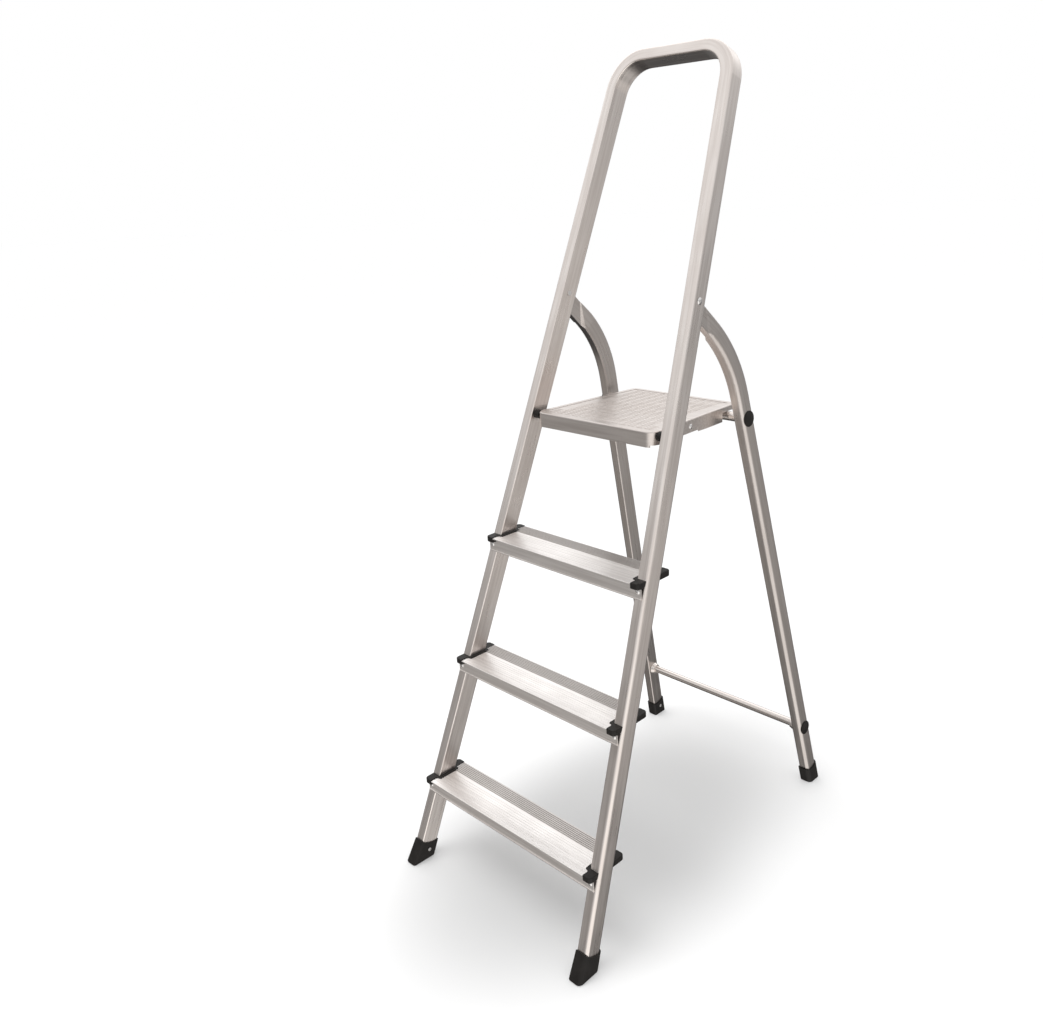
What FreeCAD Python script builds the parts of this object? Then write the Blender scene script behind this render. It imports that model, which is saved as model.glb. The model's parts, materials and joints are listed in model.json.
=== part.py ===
import FreeCAD, Part

import math
import os

import Sketcher
from FreeCAD import Placement, Rotation, Vector

# A free-standing platform step ladder in aluminium tube, standing open on the floor.
# +Z is up, the user climbs from -Y towards +Y, X runs across, and the floor is z = 0.
# The front frame leans back by tilt, the rear legs lean the other way by lean.

DIMENSIONS = {
    # front frame: one bent tube, its two stiles splayed towards the floor
    "front_foot_y": -345.38,
    "tilt": 20.5,
    "splay": 3.72,
    "frame_top": 1500.6,
    "stile_spread": 212.5,
    "stile_width": 21.0,
    "stile_depth": 35.0,
    "stile_wall": 1.3,
    "tube_outer_corner": 6.0,
    "tube_inner_corner": 2.0,
    "handle_radius": 55.5,
    "tube_start": 14.0,
    # rear legs: straight below, curved forward at the top to the pivots
    "lean": 13.54,
    "leg_spread": 205.4,
    "leg_splay": 3.6,
    "leg_foot_y": 355.12,
    "leg_width": 20.0,
    "leg_depth": 30.0,
    "leg_wall": 1.2,
    "leg_bend_start": 867.0,
    "leg_bend_radius": 245.0,
    "leg_bend_angle": 35.0,
    # the leg's end is pressed flat: places are runs along its centre line from the bend's start
    "leg_hollow_run": 120.0,
    "leg_tip_run": 200.0,
    "tongue_width": 12.0,
    "tongue_lug_radius": 12.5,
    "tongue_inset": 2.0,
    "flat_from_inside": 155.0,
    "flat_from_outside": 196.0,
    "full_to_inside": 142.7,
    "full_to_outside": 139.3,
    "inner_press_lower": 10.5,
    # leg pivots, measured in the plane of the front frame
    "pivot_height": 1086.0,
    "pivot_depth": -1.0,
    "pivot_shank": 3.2,
    "pivot_head": 6.0,
    "pivot_head_rise": 2.0,
    "shank_slack": 0.1,
    "running_gap": 0.05,
    "washer_radius": 7.0,
    "washer_gap": 0.45,
    "slot_width": 17.6,
    "slot_below": 70.5,
    "slot_above": 6.0,
    "slot_cut_depth": 12.0,
    # treads: extrusions with a flat ribbed top and a web at the front and at the rear
    "tread_low": 165.5,
    "tread_mid": 386.5,
    "tread_high": 604.0,
    "tread_nose": 38.0,
    "tread_tail": 43.5,
    "tread_plate": 1.8,
    "tread_web": 1.5,
    "tread_web_front": 30.5,
    "tread_web_drop": 27.5,
    "tread_tail_drop": 8.5,
    "tread_lip": 1.3,
    "tread_nose_round": 0.6,
    "tread_tail_flange": 4.0,
    "tread_end_inset": 3.4,
    # ribs along a tread's top: fine flat ones, then coarse square ones at the rear
    "fine_rib_start": 3.0,
    "fine_rib_pitch": 5.2,
    "fine_rib_width": 3.6,
    "fine_rib_rise": 0.35,
    "coarse_rib_end": 2.2,
    "coarse_rib_pitch": 3.9,
    "coarse_rib_width": 1.8,
    "coarse_rib_rise": 1.0,
    # tread end trims
    "trim_top": 1.6,
    "trim_skirt": 9.0,
    "trim_inside": 17.5,
    "trim_corner": 9.5,
    "trim_outside": 7.8,
    "trim_reach": 23.0,
    "trim_step_round": 3.8,
    "trim_knob_round": 6.5,
    "trim_end_round": 2.5,
    "trim_top_round": 1.3,
    "trim_sole_round": 2.2,
    "trim_block_width": 12.0,
    # rivets with a domed head, and the flat upset on their far end
    "rivet_shank": 2.4,
    "rivet_drop": 15.0,
    "rivet_upset": 1.2,
    "tread_rivet_head": 4.4,
    "tread_rivet_rise": 1.7,
    "side_rivet_head": 4.6,
    "side_rivet_rise": 1.6,
    "side_rivet_grip": 4.6,
    # platform
    "platform_top": 822.0,
    "platform_front": -61.38,
    "platform_back": 191.62,
    "platform_front_half": 134.0,
    "platform_back_half": 117.5,
    "platform_sheet": 1.5,
    "platform_skirt": 26.0,
    "platform_corner": 17.0,
    "platform_rim_round": 2.4,
    "platform_side_rise": 3.5,
    "panel_step": 0.7,
    "panel_margin": 11.0,
    "notch_ahead": 9.0,
    "stiffener_y": 45.62,
    "stiffener_drop": 12.0,
    "stiffener_half_height": 8.5,
    "stiffener_half_depth": 13.0,
    "stiffener_sheet": 1.5,
    "hinge_height": 867.0,
    "hinge_depth": -5.0,
    "spacer_radius": 8.0,
    "hinge_pin": 4.0,
    "hinge_pin_head": 4.6,
    "hinge_pin_rise": 2.0,
    "hinge_pin_behind": 3.3,
    # tubes between the rear legs
    "support_height": 804.0,
    "support_radius": 8.0,
    "brace_height": 136.0,
    "brace_radius": 7.5,
    "cross_tube_wall": 1.2,
    "cap_radius": 14.0,
    "cap_dome": 2.6,
    "cap_stem": 12.0,
    "cap_stem_slack": 1.4,
    "collar_radius": 12.5,
    "collar_rim": 1.5,
    "collar_wall": 2.2,
    "collar_length": 9.0,
    # feet
    "foot_skin": 2.6,
    "foot_front_height": 40.0,
    "foot_rear_height": 40.0,
    "foot_toe": 5.5,
    "foot_rim_radius": 46.0,
    "foot_rim_dip": 5.0,
    "foot_sole_round": 2.5,
    "screw_height": 22.0,
    "screw_depth": 2.0,
    "screw_head": 3.4,
    "screw_head_rise": 1.6,
    "screw_shank": 1.9,
    "fit_gap": 0.15,
}

FINE_RIBS = 9
COARSE_RIBS = 7

doc = FreeCAD.newDocument("platform_step_ladder")
sheet = doc.addObject("Spreadsheet::Sheet", "dimensions")
for row, (alias, number) in enumerate(DIMENSIONS.items(), start=1):
    sheet.set(f"A{row}", alias)
    sheet.set(f"B{row}", str(number))
    sheet.setAlias(f"B{row}", alias)
doc.recompute()


class Size:
    """A length that knows its number and the spreadsheet expression that gives it."""

    def __init__(self, number, text):
        self.number = number
        self.text = text

    def __add__(self, other):
        other = as_size(other)
        return Size(self.number + other.number, f"({self.text} + {other.text})")

    def __sub__(self, other):
        other = as_size(other)
        return Size(self.number - other.number, f"({self.text} - {other.text})")

    def __mul__(self, other):
        other = as_size(other)
        return Size(self.number * other.number, f"({self.text} * {other.text})")

    def __truediv__(self, other):
        other = as_size(other)
        return Size(self.number / other.number, f"({self.text} / {other.text})")

    def __neg__(self):
        return Size(-self.number, f"(0 - {self.text})")

    def __float__(self):
        return float(self.number)


def as_size(value):
    return value if isinstance(value, Size) else Size(float(value), repr(float(value)))


def dim(alias):
    return Size(float(sheet.get(alias)), f"dimensions.{alias}")


def bind(thing, **sizes):
    for prop, size in sizes.items():
        size = as_size(size)
        setattr(thing, prop, size.number)
        thing.setExpression(prop, size.text)
    return thing


# ---------------------------------------------------------------- shared numbers
TILT = math.radians(float(dim("tilt")))
LEAN = math.radians(float(dim("lean")))
SPLAY = math.radians(float(dim("splay")))
LEG_SPLAY = math.radians(float(dim("leg_splay")))
FRONT_PLACE = Placement(Vector(0, float(dim("front_foot_y")), 0),
                        Rotation(Vector(1, 0, 0), -float(dim("tilt"))))
REAR_PLACE = Placement(Vector(0, float(dim("leg_foot_y")), 0),
                       Rotation(Vector(1, 0, 0), float(dim("lean"))))
SIDES = {"left": -1, "right": 1}
STILE_HALF = float(dim("stile_width")) / 2
PIVOT = FRONT_PLACE.multVec(Vector(0, float(dim("pivot_depth")), float(dim("pivot_height"))))
HINGE = FRONT_PLACE.multVec(Vector(0, float(dim("hinge_depth")), float(dim("hinge_height"))))


def stile_x(height):
    """Centre of a stile at a height along the front frame."""
    return float(dim("stile_spread")) - math.tan(SPLAY) * height


def leg_x(height):
    """Centre of a rear leg at a height along the leg."""
    return float(dim("leg_spread")) - math.tan(LEG_SPLAY) * height


def leg_point(z):
    """Point on the straight part of a leg's centre line at floor height z: (x, y, z)."""
    along = z / math.cos(LEAN)
    return Vector(leg_x(along), float(dim("leg_foot_y")) - z * math.tan(LEAN), z)


# ---------------------------------------------------------------- shape helpers
def section(centre, outward, width, depth, outer_corner, inner_corner):
    """Rounded rectangle across a tube; outward is the side with the larger corners."""
    deep = Vector(0, 1, 0)
    corners = [(1, -1, outer_corner), (1, 1, outer_corner), (-1, 1, inner_corner), (-1, -1, inner_corner)]
    edges = []
    points = []
    for side, end, radius in corners:
        tip = centre + outward * (side * width / 2) + deep * (end * depth / 2)
        along = deep * (-end * radius)
        across = outward * (-side * radius)
        middle = tip + (along + across) * (1 - math.sqrt(0.5))
        first, last = (tip + across, tip + along)
        if side * end > 0:
            first, last = last, first
        points.append((first, middle, last))
    for index, (first, middle, last) in enumerate(points):
        edges.append(Part.Arc(first, middle, last).toShape())
        edges.append(Part.makeLine(last, points[(index + 1) % 4][0]))
    return Part.Wire(Part.__sortEdges__(edges))


def sweep(path, profile):
    return Part.Wire(path).makePipeShell([profile], True, False)


def feature(name, shape, place=None):
    thing = doc.addObject("Part::Feature", name)
    thing.Label = name
    thing.Shape = shape
    if place is not None:
        thing.Placement = place
    return thing


def cylinder(name, radius, length, base, direction):
    thing = bind(doc.addObject("Part::Cylinder", name), Radius=radius, Height=length)
    thing.Placement = Placement(base, Rotation(Vector(0, 0, 1), direction))
    thing.Label = name
    return thing


def box(name, low, size):
    thing = bind(doc.addObject("Part::Box", name), Length=size[0], Width=size[1], Height=size[2])
    thing.Placement = Placement(Vector(*[float(value) for value in low]), Rotation())
    return thing


def cut(name, base, tools):
    """Base minus all the tools."""
    tool = tools[0]
    if len(tools) > 1:
        tool = doc.addObject("Part::MultiFuse", f"{name}_tools")
        tool.Shapes = tools
    thing = doc.addObject("Part::Cut", name)
    thing.Base, thing.Tool = base, tool
    thing.Label = name
    return thing


def fuse(name, shapes):
    thing = doc.addObject("Part::MultiFuse", name)
    thing.Shapes = shapes
    thing.Label = name
    return thing


def plane(body, role):
    return next(item for item in body.Origin.OriginFeatures if item.Role == role)


def outline(body, role, name, points, offset=0.0):
    """Closed polygon sketch on an origin plane, every corner held by the spreadsheet."""
    sketch = body.newObject("Sketcher::SketchObject", name)
    sketch.AttachmentSupport = [(plane(body, role), "")]
    sketch.MapMode = "FlatFace"
    sketch.AttachmentOffset = Placement(Vector(0, 0, float(offset)), Rotation())
    vectors = [Vector(float(x), float(y), 0) for x, y in points]
    count = len(vectors)
    for index in range(count):
        sketch.addGeometry(Part.LineSegment(vectors[index], vectors[(index + 1) % count]))
    for index in range(count):
        sketch.addConstraint(Sketcher.Constraint("Coincident", index, 2, (index + 1) % count, 1))
    for index, (x, y) in enumerate(points):
        for kind, size in (("DistanceX", as_size(x)), ("DistanceY", as_size(y))):
            held = sketch.addConstraint(Sketcher.Constraint(kind, -1, 1, index, 1, size.number))
            sketch.setExpression(f"Constraints[{held}]", size.text)
    return sketch


def pad(body, name, sketch, length, symmetric=False):
    thing = body.newObject("PartDesign::Pad", name)
    thing.Profile = sketch
    bind(thing, Length=length)
    if symmetric:
        thing.SideType = "Symmetric"
    sketch.Visibility = False
    return thing


# ---------------------------------------------------------------- front frame tube
def mirrored(point):
    return Vector(-point.x, point.y, point.z)


def frame_path():
    """Centre line of the inverted U: up one stile, across the handle, down the other."""
    top = float(dim("frame_top")) - STILE_HALF
    bend = float(dim("handle_radius"))
    corner = Vector(stile_x(top), 0, top)
    reach = bend * math.tan((math.pi / 2 - SPLAY) / 2)
    start = Vector(stile_x(float(dim("tube_start"))), 0, float(dim("tube_start")))
    low = corner + Vector(math.sin(SPLAY), 0, -math.cos(SPLAY)) * reach
    high = corner - Vector(reach, 0, 0)
    centre = high - Vector(0, 0, bend)
    middle = centre + (corner - centre).normalize() * bend
    return [
        Part.makeLine(start, low),
        Part.Arc(low, middle, high).toShape(),
        Part.makeLine(high, mirrored(high)),
        Part.Arc(mirrored(high), mirrored(middle), mirrored(low)).toShape(),
        Part.makeLine(mirrored(low), mirrored(start)),
    ]


def stile_section(start, grow, side=1):
    """Section of a stile at a height, grown by a margin (negative for the bore)."""
    outward = Vector(side * math.cos(SPLAY), 0, math.sin(SPLAY))
    centre = Vector(side * stile_x(start), 0, start)
    width, depth = float(dim("stile_width")) + 2 * grow, float(dim("stile_depth")) + 2 * grow
    large = float(dim("tube_outer_corner")) + grow
    small = max(float(dim("tube_inner_corner")) + grow, 0.7)
    return section(centre, outward, width, depth, large, small)


def stile_prism(name, side, grow, low, high):
    """Straight solid along a stile, used to clear the pieces that surround it."""
    face = Part.Face(stile_section(low, grow, side))
    along = Vector(-side * math.sin(SPLAY), 0, math.cos(SPLAY)) * ((high - low) / math.cos(SPLAY))
    return feature(name, face.extrude(along), FRONT_PLACE)


def across_stile(name, side, radius, height, depth, inner=True, outer=True):
    """Hole across the walls of a stile, parallel to X, at a place in the frame's plane."""
    reach = STILE_HALF + 4.0
    centre = FRONT_PLACE.multVec(Vector(side * stile_x(height), depth, height))
    low, high = (-reach if inner else 0.0, reach if outer else 0.0)
    base = centre + Vector(side * low, 0, 0)
    return cylinder(name, radius, high - low, base, Vector(side, 0, 0))


def make_front_frame():
    start = float(dim("tube_start"))
    outer = sweep(frame_path(), stile_section(start, 0.0))
    bore = sweep(frame_path(), stile_section(start, -float(dim("stile_wall"))))
    tube = feature("front_frame_blank", outer.cut(bore), FRONT_PLACE)
    tools = []
    for side_name, side in SIDES.items():
        height = float(dim("pivot_height"))
        low = height - float(dim("slot_below"))
        slot = box(f"leg_slot_{side_name}", (0, 0, 0),
                   (dim("slot_width"), dim("slot_cut_depth"), dim("slot_below") + dim("slot_above")))
        along = Rotation(Vector(0, 1, 0), -side * float(dim("splay")))
        rear = float(dim("stile_depth") - dim("slot_cut_depth")) / 2
        corner = along.multVec(Vector(-float(dim("slot_width")) / 2, rear, 0))
        slot.Placement = FRONT_PLACE.multiply(Placement(Vector(side * stile_x(low), 0, low) + corner, along))
        tools.append(slot)
        tools.append(across_stile(f"pivot_hole_{side_name}", side, dim("pivot_shank"),
                                  height, float(dim("pivot_depth"))))
        tools.append(across_stile(f"hinge_hole_{side_name}", side, dim("hinge_pin"),
                                  float(dim("hinge_height")), float(dim("hinge_depth")), outer=False))
        tools.append(tube_screw_hole(f"stile_screw_hole_{side_name}", "front_foot", side))
        for tread in TREADS:
            tools.append(tread_rivet_hole(f"{tread}_stile_hole_{side_name}", tread, side))
    return cut("front_frame_tube", tube, tools)


# ---------------------------------------------------------------- treads
TREADS = {"tread_lower": "tread_low", "tread_middle": "tread_mid", "tread_upper": "tread_high"}


def tread_centre(tread):
    """Where the right stile's centre line crosses the tread's top."""
    z = float(dim(TREADS[tread]))
    return Vector(stile_x(z / math.cos(TILT)), float(dim("front_foot_y")) + z * math.tan(TILT), z)


def tread_rivet_hole(name, tread, side):
    """Hole for the rivet that holds the front web to the stile."""
    centre = tread_centre(tread)
    base = Vector(side * centre.x, centre.y - float(dim("tread_nose")), centre.z - float(dim("rivet_drop")))
    length = dim("tread_nose") - dim("stile_depth") / 2 + 4.0
    return cylinder(name, dim("rivet_shank"), length, base, Vector(0, 1, 0))


def rib(left, width, rise, slope):
    """Corners of one rib on a tread's flat top, its flanks leaning in by a slope."""
    flat = as_size(0.0)
    return [(left, flat), (left + slope, rise), (left + width - slope, rise), (left + width, flat)]


def tread_profile():
    """Section through a tread, (y, z) from the stile's centre line at the tread's top."""
    nose, tail, plate = dim("tread_nose"), dim("tread_tail"), dim("tread_plate")
    web, web_front, soft = dim("tread_web"), dim("tread_web_front"), dim("tread_nose_round")
    drop, tail_drop, lip = dim("tread_web_drop"), dim("tread_tail_drop"), dim("tread_lip")
    flange = dim("tread_tail_flange")
    points = [(-nose, -plate), (-nose, -soft), (-nose + soft, as_size(0.0))]
    for index in range(FINE_RIBS):
        left = -nose + dim("fine_rib_start") + dim("fine_rib_pitch") * index
        points += rib(left, dim("fine_rib_width"), dim("fine_rib_rise"), 0.3)
    for index in reversed(range(COARSE_RIBS)):
        right = tail - dim("coarse_rib_end") - dim("coarse_rib_pitch") * index
        points += rib(right - dim("coarse_rib_width"), dim("coarse_rib_width"), dim("coarse_rib_rise"), 0.0)
    points += [
        (tail, as_size(0.0)),
        (tail, -tail_drop),
        (tail - flange, -tail_drop),
        (tail - flange, -tail_drop + web),
        (tail - web, -tail_drop + web),
        (tail - web, -plate),
        (-web_front + web, -plate),
        (-web_front + web, -drop),
        (-web_front - lip, -drop),
        (-web_front - lip, -drop + web),
        (-web_front, -drop + web),
        (-web_front, -plate * 1.7),
        (-web_front - plate * 0.9, -plate),
    ]
    return points


def make_tread(tread):
    centre = tread_centre(tread)
    body = doc.addObject("PartDesign::Body", f"{tread}_extrusion")
    sketch = outline(body, "YZ_Plane", f"{tread}_section", tread_profile())
    half = as_size(centre.x + STILE_HALF) - dim("tread_end_inset")
    pad(body, f"{tread}_pad", sketch, half * 2.0, symmetric=True)
    body.Placement = Placement(Vector(0, centre.y, centre.z), Rotation())
    tools = []
    for side_name, side in SIDES.items():
        gap = dim("fit_gap")
        below = dim("trim_skirt") + gap
        notch, _, _ = make_trim_plan(f"{tread}_notch_{side_name}", side, gap, 5.0, below, 5.0)
        notch.Placement = Placement(Vector(side * centre.x, centre.y, centre.z), Rotation())
        tools.append(notch)
        tools.append(tread_rivet_hole(f"{tread}_web_hole_{side_name}", tread, side))
    return cut(tread, body, tools)


def upright_edges(base, spots=None):
    """Names of a feature's upright edges: all of them, or those at the given (x, y) places."""
    doc.recompute()
    names = []
    for index, edge in enumerate(base.Shape.Edges, start=1):
        if len(edge.Vertexes) != 2:
            continue
        first, last = (vertex.Point for vertex in edge.Vertexes)
        wanted = spots is None or any(math.hypot(first.x - x, first.y - y) < 0.01 for x, y in spots)
        if wanted and abs(first.z - last.z) > 1.0:
            names.append(f"Edge{index}")
    return names


def level_edges(base, height):
    """Names of a feature's edges that lie level at a height."""
    doc.recompute()
    return [f"Edge{index}" for index, edge in enumerate(base.Shape.Edges, start=1)
            if edge.Vertexes and all(abs(vertex.Z - float(height)) < 0.01 for vertex in edge.Vertexes)]


def round_edges(body, base, name, chosen, radius):
    """Fillet on the chosen edges of a body's latest feature."""
    made = body.newObject("PartDesign::Fillet", name)
    made.Base = (base, chosen)
    bind(made, Radius=radius)
    doc.recompute()
    return made


def make_trim_plan(name, side, gap, beyond, below, above):
    """A trim's plan as a solid, grown by a gap: two blocks and the strip between, its steps rounded."""
    cover = dim("tread_nose_round")
    nose, tail = dim("tread_nose") + cover + beyond, dim("tread_tail") + cover + beyond
    reach, outside = dim("trim_reach") + gap, dim("trim_outside") + beyond
    inside, corner = dim("trim_inside") + gap, dim("trim_corner") + gap
    plan = [(-corner, -nose), (outside, -nose), (outside, tail), (-corner, tail),
            (-corner, reach), (-inside, reach), (-inside, -reach), (-corner, -reach)]
    plan = [(x * side, y) for x, y in plan]
    spots = [(float(x), float(y)) for x, y in plan]
    body = doc.addObject("PartDesign::Body", f"{name}_body")
    sketch = outline(body, "XY_Plane", f"{name}_plan", plan, -float(below))
    blank = pad(body, f"{name}_blank", sketch, below + above)
    soft = dim("trim_step_round")
    outer_steps = upright_edges(blank, spots[5:7])
    stepped = round_edges(body, blank, f"{name}_outer_steps", outer_steps, soft + gap)
    inner_steps = upright_edges(stepped, [spots[4], spots[7]])
    stepped = round_edges(body, stepped, f"{name}_inner_steps", inner_steps, soft - gap)
    return body, stepped, spots


def make_trim(tread, side_name, clearance):
    """Plastic end trim: a strip beside the stile with a rounded knob before and behind it."""
    side = SIDES[side_name]
    centre = tread_centre(tread)
    name = f"{tread}_trim_{side_name}"
    skirt, top = dim("trim_skirt"), dim("trim_top")
    body, shape, spots = make_trim_plan(name, side, as_size(0.0), 0.0, skirt, top)
    knobs = upright_edges(shape, spots[1:3])
    shape = round_edges(body, shape, f"{name}_knobs", knobs, dim("trim_knob_round"))
    ends = upright_edges(shape, [spots[0], spots[3]])
    shape = round_edges(body, shape, f"{name}_knob_ends", ends, dim("trim_end_round"))
    shape = round_edges(body, shape, f"{name}_soft_top", level_edges(shape, top), dim("trim_top_round"))
    round_edges(body, shape, f"{name}_soft_sole", level_edges(shape, -skirt), dim("trim_sole_round"))
    body.Placement = Placement(Vector(side * centre.x, centre.y, centre.z), Rotation())
    block_width = dim("trim_block_width")
    inner_end = 1.0 - STILE_HALF
    low = dim("tread_web") - dim("tread_web_front") + 0.1
    drop = dim("tread_web_drop") - 3.0
    block = box(f"{name}_web_block",
                (inner_end if side > 0 else -inner_end - float(block_width), low, -float(drop)),
                (block_width, -low - 4.0, drop - skirt + 4.0))
    block.Placement = body.Placement.multiply(block.Placement)
    solid = fuse(f"{name}_solid", [body, block])
    return cut(name, solid, [clearance[side_name], tread_rivet_hole(f"{name}_hole", tread, side)])


def dome_edge(radius, rim, crown):
    """Arc of a dome's outline, from its rim to its crown on the Z axis, with its centre on the axis."""
    rise = abs(crown - rim)
    way = 1 if crown > rim else -1
    ball = (radius * radius + rise * rise) / (2 * rise)
    half_turn = math.asin(radius / ball) / 2
    middle = Vector(ball * math.sin(half_turn), 0, crown - way * ball * (1 - math.cos(half_turn)))
    return Part.Arc(Vector(radius, 0, rim), middle, Vector(0, 0, crown)).toShape()


def rivet_shape(shank, grip, head, rise):
    """Rivet along +Z: a domed head below z = 0, the shank, and a flat upset at the far end."""
    upset, end = shank * 1.5, grip + float(dim("rivet_upset"))
    profile = Part.Wire([
        dome_edge(head, 0.0, -rise),
        Part.makeLine(Vector(head, 0, 0), Vector(shank, 0, 0)),
        Part.makeLine(Vector(shank, 0, 0), Vector(shank, 0, grip)),
        Part.makeLine(Vector(shank, 0, grip), Vector(upset, 0, grip)),
        Part.makeLine(Vector(upset, 0, grip), Vector(upset, 0, end)),
        Part.makeLine(Vector(upset, 0, end), Vector(0, 0, end)),
        Part.makeLine(Vector(0, 0, end), Vector(0, 0, -rise)),
    ])
    return Part.Face(profile).revolve(Vector(0, 0, 0), Vector(0, 0, 1), 360)


def rivet_shank():
    """Radius of a small rivet's shank, in its hole with a running gap."""
    return float(dim("rivet_shank") - dim("running_gap"))


def placed(shape, base, direction):
    copy = shape.copy()
    copy.Placement = Placement(base, Rotation(Vector(0, 0, 1), direction))
    return copy


def group(name, shapes):
    return feature(name, Part.makeCompound(shapes))


def make_tread_rivets():
    """Two rivets for each tread, through the front web, the trim and the stile's front wall."""
    rivets = []
    for tread in TREADS:
        centre = tread_centre(tread)
        z = centre.z - float(dim("rivet_drop"))
        front = -float(dim("tread_web_front"))
        wall = stile_front(z) - centre.y + float(dim("stile_wall")) / math.cos(TILT)
        lip = float(dim("rivet_shank")) * math.tan(TILT) * 1.5
        shape = rivet_shape(rivet_shank(), wall - front + lip + 0.2,
                            float(dim("tread_rivet_head")), float(dim("tread_rivet_rise")))
        for side in SIDES.values():
            rivets.append(placed(shape, Vector(side * centre.x, centre.y + front - 0.02, z), Vector(0, 1, 0)))
    return group("tread_rivets", rivets)


def stile_front(z):
    """Y of the stiles' front face at floor height z."""
    return float(dim("front_foot_y")) + z * math.tan(TILT) - float(dim("stile_depth")) / 2 / math.cos(TILT)


# ---------------------------------------------------------------- feet
def make_foot(name, outer, rise, toe, place, bore, rim, screw):
    """Solid foot round a tube end, level at the floor, its rim dipped between the corners.

    The outer section is drawn up along rise, and once more from toe farther forward, which
    gives a front foot its toe.
    """
    shell = outer.extrude(rise)
    if toe:
        lean = Vector(0, -toe, 0)
        shell = shell.fuse(outer.translated(lean).extrude(rise - lean)).removeSplitter()
    shell.Placement = place.multiply(shell.Placement)
    middle = shell.BoundBox.Center
    room = Part.makeBox(200, 200, 200, Vector(middle.x - 100, middle.y - 100, 0))
    solid = shell.common(room).cut(rim)
    sole = [edge for edge in solid.Edges
            if edge.Length > 3.0 and all(abs(vertex.Z) < 1e-4 for vertex in edge.Vertexes)]
    solid = solid.makeFillet(float(dim("foot_sole_round")), sole)
    hollow = bore.extrude(rise)
    hollow.Placement = place.multiply(hollow.Placement)
    blank = feature(f"{name}_moulding", solid.cut(hollow))
    base, side = screw
    hole = cylinder(f"{name}_screw_hole", dim("screw_shank") + dim("running_gap"), 12.0,
                    base - Vector(side * 4.0, 0, 0), Vector(side, 0, 0))
    return cut(name, blank, [hole])


def rim_dip(place, x, height, side):
    """Cylinder across a foot whose underside dips the foot's rim between front and back."""
    radius = float(dim("foot_rim_radius"))
    centre = place.multVec(Vector(side * x, 0, height + radius - float(dim("foot_rim_dip"))))
    return Part.makeCylinder(radius, 80.0, centre - Vector(side * 40.0, 0, 0), Vector(side, 0, 0))


def make_feet():
    skin, below, start = float(dim("foot_skin")), -40.0, float(dim("tube_start"))
    gap = float(dim("running_gap"))
    front_height, rear_height = float(dim("foot_front_height")), float(dim("foot_rear_height"))
    kinds = {
        "front_foot": (FRONT_PLACE, SPLAY, stile_x, stile_section, front_height, float(dim("foot_toe"))),
        "rear_foot": (REAR_PLACE, LEG_SPLAY, leg_x, leg_section, rear_height, 0.0),
    }
    for kind, (place, splay, centre_x, tube_section, height, toe) in kinds.items():
        toe_at_start = toe * (height - below) / height
        for side_name, side in SIDES.items():
            rise = Vector(-side * math.tan(splay), 0, 1) * (height - below)
            outer = Part.Face(tube_section(below, skin, side))
            bore = Part.Face(tube_section(start, gap, side))
            rim = rim_dip(place, centre_x(height), height, side)
            screw = screw_place(kind, side)
            make_foot(f"{kind}_{side_name}", outer, rise, toe_at_start, place, bore, rim, screw)


def screw_shape():
    """Pan-head screw along +Z with a cross recess, its head below z = 0."""
    radius, rise = float(dim("screw_head")), float(dim("screw_head_rise"))
    head = Part.makeCylinder(radius, rise, Vector(0, 0, -rise))
    head = head.makeFillet(0.9, [edge for edge in head.Edges if abs(edge.BoundBox.Center.z + rise) < 1e-6])
    slot = Part.makeBox(4.2, 0.8, 0.9, Vector(-2.1, -0.4, -1.7))
    cross = slot.fuse(slot.rotated(Vector(), Vector(0, 0, 1), 90))
    shank = Part.makeCylinder(float(dim("screw_shank")), float(dim("foot_skin")) + 3.0)
    return head.cut(cross).fuse(shank)


def screw_place(kind, side):
    """Where a foot's screw goes through its inner face into the tube: base and side."""
    height, depth, skin = float(dim("screw_height")), float(dim("screw_depth")), float(dim("foot_skin"))
    place, centre_x, splay, half = FRONT_PLACE, stile_x, SPLAY, STILE_HALF
    if kind == "rear_foot":
        place, centre_x, splay, half = REAR_PLACE, leg_x, LEG_SPLAY, float(dim("leg_width")) / 2
    inner = centre_x(height) - (half + skin) / math.cos(splay) - 0.25
    return place.multVec(Vector(side * inner, depth, height)), side


def tube_screw_hole(name, kind, side):
    """Hole in a tube for its foot's screw."""
    base, _ = screw_place(kind, side)
    return cylinder(name, dim("screw_shank") + dim("running_gap"), 12.0, base, Vector(side, 0, 0))


def make_screws():
    shape = screw_shape()
    for kind in ("front_foot", "rear_foot"):
        spots = [screw_place(kind, side) for side in SIDES.values()]
        group(f"{kind}_screws", [placed(shape, base, Vector(side, 0, 0)) for base, side in spots])


# ---------------------------------------------------------------- rear legs
def leg_section(start, grow, side=1):
    """Section of a rear leg at a height along it, in the leg's own frame."""
    outward = Vector(side * math.cos(SPLAY), 0, math.sin(SPLAY))
    centre = Vector(side * leg_x(start), 0, start)
    width, depth = float(dim("leg_width")) + 2 * grow, float(dim("leg_depth")) + 2 * grow
    large = float(dim("tube_outer_corner")) + grow
    small = max(float(dim("tube_inner_corner")) + grow, 0.7)
    return section(centre, outward, width, depth, large, small)


def leg_bend_turn():
    """How far a leg turns in its bend, in radians."""
    return math.radians(float(dim("leg_bend_angle")))


def leg_top_point(side, run, depth=0.0):
    """Point past the start of a leg's bend, run along its centre line and depth outside it."""
    radius = float(dim("leg_bend_radius"))
    turn = min(run / radius, leg_bend_turn())
    past = run - radius * turn
    height = float(dim("leg_bend_start")) + (radius + depth) * math.sin(turn) + past * math.cos(turn)
    forward = (radius + depth) * math.cos(turn) - radius - past * math.sin(turn)
    return Vector(side * leg_x(height), forward, height)


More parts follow.
